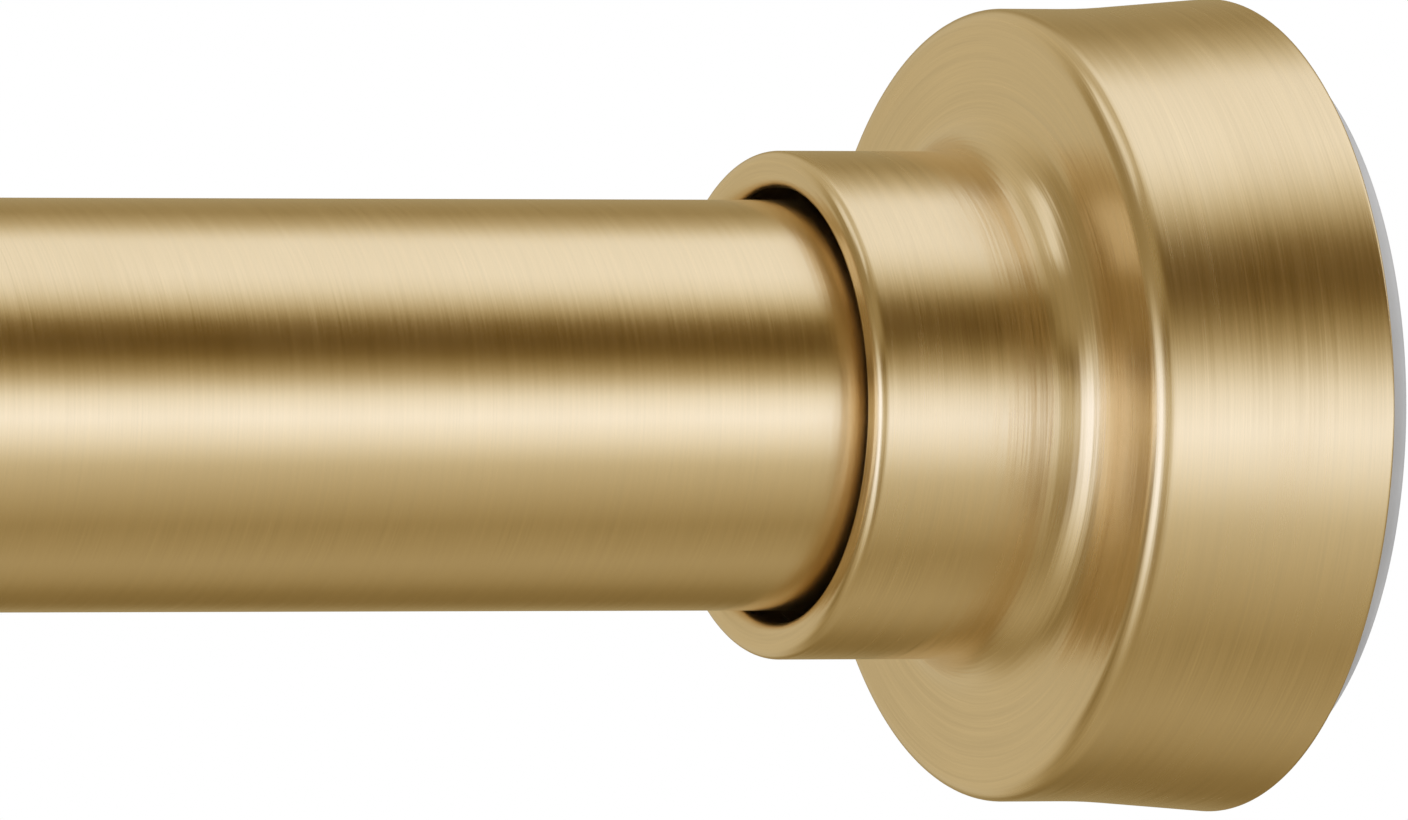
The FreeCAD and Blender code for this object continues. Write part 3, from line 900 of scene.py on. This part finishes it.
class ROD_OT_stage(bpy.types.Operator):
    """Set up the camera, the pale floor, the lamps and the panels that the metal mirrors"""
    bl_idname = "tension_rod.stage"
    bl_label = "Stage"

    def execute(self, context):
        stage = context.scene.tension_rod.stage
        context.scene.view_settings.view_transform = "Standard"
        self.camera(context.scene, stage)
        self.world(context.scene, stage)
        self.floor(context.scene, stage)
        self.lamps(context.scene, stage)
        self.tent(context.scene)
        return {"FINISHED"}

    @staticmethod
    def camera(scene, stage):
        data = bpy.data.cameras.new("Camera")
        data.lens = stage.lens
        camera = bpy.data.objects.new("Camera", data)
        scene.collection.objects.link(camera)
        aim = Vector((ROD_END - stage.view_centre, 0, -stage.view_drop))
        back = Vector((-math.sin(stage.view_azimuth), -math.cos(stage.view_azimuth), 0))
        distance = stage.view_width * data.lens / data.sensor_width
        camera.location = aim + back * distance
        camera.rotation_euler = back.to_track_quat("Z", "Y").to_euler()
        scene.camera = camera

    @staticmethod
    def world(scene, stage):
        """White where it is seen or mirrored, softer where it lights the rod."""
        world = bpy.data.worlds.new("Studio")
        world.use_nodes = True
        nodes = Nodes(world.node_tree)
        soft = world.node_tree.nodes["Background"]
        soft.inputs["Color"].default_value = (1, 1, 1, 1)
        soft.inputs["Strength"].default_value = stage.ambient
        white = nodes.new("ShaderNodeBackground")
        white.inputs["Color"].default_value = (1, 1, 1, 1)
        path = nodes.new("ShaderNodeLightPath").outputs
        seen = nodes.math("ADD", path["Is Camera Ray"], path["Is Glossy Ray"])
        seen = nodes.math("ADD", seen, path["Is Transmission Ray"], clamp=True)
        mixed = nodes.new("ShaderNodeMixShader")
        nodes.feed(mixed.inputs[0], seen)
        nodes.feed(mixed.inputs[1], soft.outputs[0])
        nodes.feed(mixed.inputs[2], white.outputs[0])
        nodes.feed(world.node_tree.nodes["World Output"].inputs["Surface"], mixed.outputs[0])
        scene.world = world

    @staticmethod
    def floor(scene, stage):
        """Pale floor that takes the shadow and isn't mirrored."""
        mesh = bpy.data.meshes.new("floor")
        signs = ((-1, -1), (1, -1), (1, 1), (-1, 1))
        corners = [(FLOOR_REACH * x, FLOOR_REACH * y, -stage.floor_drop) for x, y in signs]
        mesh.from_pydata(corners, [], [(0, 1, 2, 3)])
        floor = bpy.data.objects.new("floor", mesh)
        scene.collection.objects.link(floor)
        material, _, shader = new_material("Pale Floor")
        shader.inputs["Base Color"].default_value = (*stage.floor_colour, 1.0)
        shader.inputs["Roughness"].default_value = FLOOR_ROUGHNESS
        shader.inputs["Specular IOR Level"].default_value = 0.0
        mesh.materials.append(material)
        floor.visible_glossy = False

    @staticmethod
    def lamps(scene, stage):
        """Two large soft lamps, one overhead and one in front, which the metal doesn't mirror."""
        aim = Vector((ROD_MIDDLE, 0, 0))
        for name, place, power in (
            ("overhead_lamp", OVERHEAD_LAMP_PLACE, stage.lamp_power),
            ("front_lamp", FRONT_LAMP_PLACE, stage.lamp_power * FRONT_LAMP_SHARE),
        ):
            data = bpy.data.lights.new(name, "AREA")
            data.shape = "DISK"
            data.size = LAMP_WIDTH
            data.energy = power
            lamp = bpy.data.objects.new(name, data)
            lamp.location = place
            lamp.rotation_euler = (lamp.location - aim).to_track_quat("Z", "Y").to_euler()
            lamp.visible_glossy = False
            lamp.visible_camera = False
            scene.collection.objects.link(lamp)

    @staticmethod
    def tent(scene):
        """A long tube of white panels and darker gaps round the rod, which only mirrored rays see."""
        work = bmesh.new()
        turns = [2 * math.pi * k / TENT_SIDES for k in range(TENT_SIDES)]
        ends = []
        for x in TENT_ENDS:
            ends.append([
                work.verts.new((x, TENT_RADIUS * math.sin(a), TENT_RADIUS * math.cos(a))) for a in turns
            ])
        for k in range(TENT_SIDES):
            after = (k + 1) % TENT_SIDES
            work.faces.new((ends[0][k], ends[0][after], ends[1][after], ends[1][k]))
        tent = bpy.data.objects.new("panel_tent", finished_mesh("panel_tent", work))
        tent.data.materials.append(tent_material())
        tent.visible_camera = False
        tent.visible_diffuse = False
        tent.visible_transmission = False
        tent.visible_volume_scatter = False
        tent.visible_shadow = False
        scene.collection.objects.link(tent)


def tent_material():
    """Emission that follows the levels round the rod, warmer where it is darker."""
    material = bpy.data.materials.new("Panel Tent")
    material.use_nodes = True
    material.cycles.emission_sampling = "NONE"
    material.node_tree.nodes.clear()
    nodes = Nodes(material.node_tree)
    split = nodes.new("ShaderNodeSeparateXYZ")
    nodes.feed(split.inputs[0], nodes.new("ShaderNodeTexCoord").outputs["Object"])
    x, y, z = split.outputs
    frontwards = nodes.math("MULTIPLY", y, -1.0)
    angle = nodes.math("ARCTAN2", z, frontwards)
    from_front = nodes.math("ABSOLUTE", angle)
    ramp = nodes.new("ShaderNodeValToRGB")
    nodes.feed(ramp.inputs[0], nodes.remap(angle, -math.pi, math.pi))
    stops = ramp.color_ramp.elements
    while len(stops) < len(TENT_LEVELS):
        stops.new(0.5)
    for stop, (degrees, _) in zip(stops, TENT_LEVELS):
        stop.position = degrees / 360 + 0.5
    for stop, (_, level) in zip(stops, TENT_LEVELS):
        grey = level / TENT_BRIGHTEST
        stop.color = (grey, grey, grey, 1.0)
    level = nodes.math("MULTIPLY", ramp.outputs["Color"], TENT_BRIGHTEST)

    above = nodes.both(nodes.rise(angle, *TOP_FRONT), nodes.fade(angle, *TOP_BACK))
    level = nodes.blend(level, TOP_NEAR_LEVEL, nodes.both(above, nodes.rise(x, *TOP_NEAR)))
    level = nodes.blend(level, TOP_FAR_LEVEL, nodes.both(above, nodes.rise(x, *TOP_FAR)))
    strip = nodes.both(nodes.rise(angle, *TOP_STRIP_FRONT), nodes.fade(angle, *TOP_STRIP_BACK))
    strip_run = nodes.both(nodes.rise(x, *TOP_STRIP_RIGHT), nodes.fade(x, *TOP_STRIP_LEFT))
    level = nodes.blend(level, TOP_STRIP_LEVEL, nodes.both(strip, strip_run))

    gap = nodes.both(nodes.rise(angle, *GAP_FOOT), nodes.fade(angle, *GAP_TOP))
    level = nodes.blend(level, GAP_END_LEVEL, nodes.both(gap, nodes.rise(x, *GAP_END)))

    in_front = nodes.both(nodes.rise(angle, *FRONT_DIM_FOOT), nodes.fade(angle, *FRONT_DIM_TOP))
    dim_run = nodes.both(nodes.rise(x, *FRONT_DIM_LEFT), nodes.fade(x, *FRONT_DIM_RIGHT))
    dimmed = nodes.math("MULTIPLY", nodes.both(in_front, dim_run), FRONT_DIM_SHARE)
    level = nodes.math("MULTIPLY", level, nodes.math("SUBTRACT", 1.0, dimmed))

    leftwards = nodes.math("MULTIPLY", x, -1.0)
    height = nodes.math("ARCTAN2", z, nodes.length(x, y))
    bearing = nodes.math("ARCTAN2", leftwards, frontwards)
    across = nodes.both(nodes.rise(bearing, *SIDE_PANEL_NEAR), nodes.fade(bearing, *SIDE_PANEL_FAR))
    upright = nodes.both(nodes.rise(height, *SIDE_PANEL_FOOT), nodes.fade(height, *SIDE_PANEL_TOP))
    level = nodes.blend(level, SIDE_PANEL_LEVEL, nodes.both(across, upright))

    behind = nodes.rise(from_front, *BACK_PANEL_ANGLES)
    panel_run = nodes.both(nodes.rise(x, *BACK_PANEL_START), nodes.fade(x, *BACK_PANEL_END))
    level = nodes.blend(level, BACK_PANEL_LEVEL, nodes.both(behind, panel_run))

    tinted = nodes.new("ShaderNodeCombineColor")
    for socket, warmth in zip(tinted.inputs, TENT_WARMTH):
        nodes.feed(socket, nodes.math("POWER", level, warmth))
    emission = nodes.new("ShaderNodeEmission")
    nodes.feed(emission.inputs["Color"], tinted.outputs[0])
    output = nodes.new("ShaderNodeOutputMaterial")
    nodes.feed(output.inputs["Surface"], emission.outputs[0])
    return material


class ROD_PT_panel(bpy.types.Panel):
    """Lists the steps that dress the tension rod"""
    bl_idname = "ROD_PT_panel"
    bl_label = "Tension Rod"
    bl_space_type = "VIEW_3D"
    bl_region_type = "UI"
    bl_category = "Tension Rod"

    def draw(self, context):
        for operator in OPERATORS:
            self.layout.operator(operator.bl_idname)


SETTINGS = (
    TubeSettings,
    CoverSettings,
    PadSettings,
    SpringSettings,
    FinishSettings,
    StageSettings,
    RodSettings,
)
OPERATORS = (
    ROD_OT_tubes,
    ROD_OT_mouth_guide,
    ROD_OT_end_covers,
    ROD_OT_foot_pads,
    ROD_OT_end_plugs,
    ROD_OT_twist_lock,
    ROD_OT_thrust_spring,
    ROD_OT_stage,
)
CLASSES = (*SETTINGS, *OPERATORS, ROD_PT_panel)


def register():
    for cls in CLASSES:
        bpy.utils.register_class(cls)
    bpy.types.Scene.tension_rod = PointerProperty(type=RodSettings)


def unregister():
    del bpy.types.Scene.tension_rod
    for cls in reversed(CLASSES):
        bpy.utils.unregister_class(cls)


def main():
    register()
    bpy.ops.tension_rod.tubes()
    bpy.ops.tension_rod.mouth_guide()
    bpy.ops.tension_rod.end_covers()
    bpy.ops.tension_rod.foot_pads()
    bpy.ops.tension_rod.end_plugs()
    bpy.ops.tension_rod.twist_lock()
    bpy.ops.tension_rod.thrust_spring()
    bpy.ops.tension_rod.stage()


if __name__ == "__main__":
    main()
